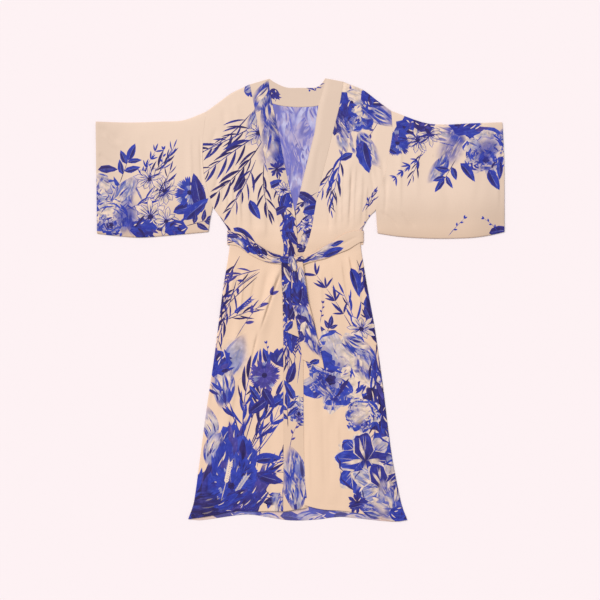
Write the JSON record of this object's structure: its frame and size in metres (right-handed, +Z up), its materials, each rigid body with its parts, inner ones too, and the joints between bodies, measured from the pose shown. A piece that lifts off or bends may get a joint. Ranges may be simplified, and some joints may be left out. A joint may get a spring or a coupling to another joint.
{
  "type": "kimono robe",
  "caption": "Long wrap robe with wide sleeves, a banded front opening and a tied cloth belt, laid flat with its front up.",
  "frame": {"origin": "middle of the outline on the surface that the robe lies on", "axes": "+X to the wearer's left sleeve, +Y from hem to neck, +Z up out of the front"},
  "size_m": [1.2241, 1.3289, 0.0241],
  "materials": {
    "printed_cloth": "soft woven, peach ground with a blue and violet floral print",
    "printed_back": "soft woven, printed outside, the paler wrong side of the print inside",
    "printed_band": "soft woven, folded double, blue and white print",
    "plain_band": "soft woven, folded double, peach",
    "belt_cloth": "soft woven, folded double, blue and peach print"
  },
  "bodies": {
    "root": {"back": "printed_back", "front_right": "printed_cloth", "front_left": "printed_cloth", "band_right": "printed_band", "band_left": "plain_band", "band_neck": "plain_band", "sleeve_right": "printed_cloth", "sleeve_left": "printed_cloth", "belt_behind": "belt_cloth", "belt_right": "belt_cloth", "belt_left": "belt_cloth", "knot": "belt_cloth", "tail_over": "belt_cloth", "tail_under": "belt_cloth"}
  },
  "joints": []
}
